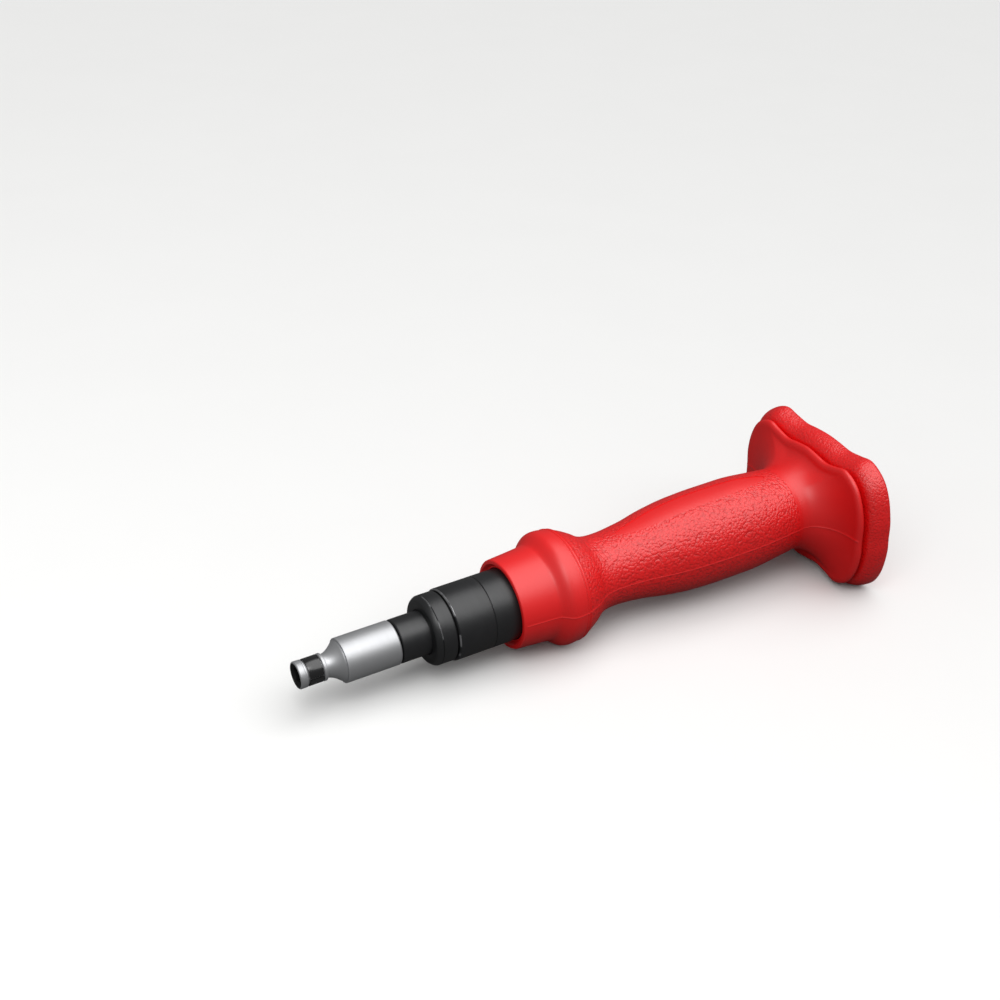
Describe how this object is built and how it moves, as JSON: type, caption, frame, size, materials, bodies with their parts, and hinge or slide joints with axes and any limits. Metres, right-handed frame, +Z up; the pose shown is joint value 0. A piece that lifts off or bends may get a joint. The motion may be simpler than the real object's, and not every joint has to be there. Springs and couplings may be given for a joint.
{
  "type": "hand impact driver",
  "caption": "Hand impact driver: steel striking head and housing in a soft red grip with a wavy two-layer hand guard, turning front collar, square drive and pull-off hex bit holder.",
  "frame": {"origin": "centre of the striking head's flat face, which is the tool's back end", "axes": "+X along the tool's axis towards the bit, +Y along the guard's long side, +Z up"},
  "size_m": [0.29, 0.0958, 0.067],
  "materials": {
    "forged_steel": "dark, as forged and turned",
    "ground_steel": "ground bright",
    "red_pebbled_grip": "pebbled soft plastic",
    "red_satin_grip": "satin soft plastic with a leather grain on the handle",
    "black_oxide_steel": "satin black oxide",
    "spring_steel": "plain spring wire",
    "seal_rubber": "matte black",
    "satin_chrome": "satin chrome plating",
    "gloss_black_band": "gloss black",
    "magnet": "plated magnet"
  },
  "bodies": {
    "housing": {"striking_head": "forged_steel", "lock_pin": "ground_steel", "guard_pad": "red_pebbled_grip", "hand_grip": "red_satin_grip", "housing_sleeve": "black_oxide_steel", "spring_guide": "ground_steel", "main_spring": "spring_steel", "retaining_ring": "spring_steel"},
    "selector": {"front_collar": "black_oxide_steel", "cam_sleeve": "forged_steel", "collar_pin": "ground_steel", "body_seal": "seal_rubber", "neck_seal": "seal_rubber"},
    "carriage": {"thrust_washer": "ground_steel"},
    "spindle": {"anvil_spindle": "black_oxide_steel", "drive_pin": "ground_steel", "drive_ball_spring": "spring_steel"},
    "drive_ball": {"drive_detent_ball": "ground_steel"},
    "holder": {"bit_holder": "satin_chrome", "bit_band": "gloss_black_band", "bit_magnet": "magnet"},
    "bit_ball": {"bit_detent_ball": "ground_steel"}
  },
  "joints": [
    {"name": "direction_select", "type": "hinge", "parent": "housing", "child": "selector", "pos_m": [0.2262, 0, 0], "axis": [1, 0, 0], "range_deg": [0, 45]},
    {"name": "impact_stroke", "type": "slide", "parent": "selector", "child": "carriage", "axis": [-1, 0, 0], "range_m": [0, 0.008], "stiffness_N_per_m": 10000, "springref_m": -0.004, "deforming": ["main_spring"]},
    {"name": "spindle_turn", "type": "hinge", "parent": "carriage", "child": "spindle", "pos_m": [0.21, 0, 0], "axis": [1, 0, 0], "range_deg": [0, 20.5]},
    {"name": "holder_release", "type": "slide", "parent": "spindle", "child": "holder", "axis": [1, 0, 0], "range_m": [0, 0.016]},
    {"name": "drive_ball_press", "type": "slide", "parent": "spindle", "child": "drive_ball", "axis": [0, 0, 1], "range_m": [0, 0.0008], "stiffness_N_per_m": 200, "springref_m": -0.001, "deforming": ["drive_ball_spring"]},
    {"name": "bit_ball_lift", "type": "slide", "parent": "holder", "child": "bit_ball", "axis": [0, 0, -1], "range_m": [0, 0.0004], "stiffness_N_per_m": 500, "springref_m": -0.0005}
  ],
  "couplings": [
    {"joint": "spindle_turn", "follows": "impact_stroke", "rad_per_m": 43.633}
  ]
}
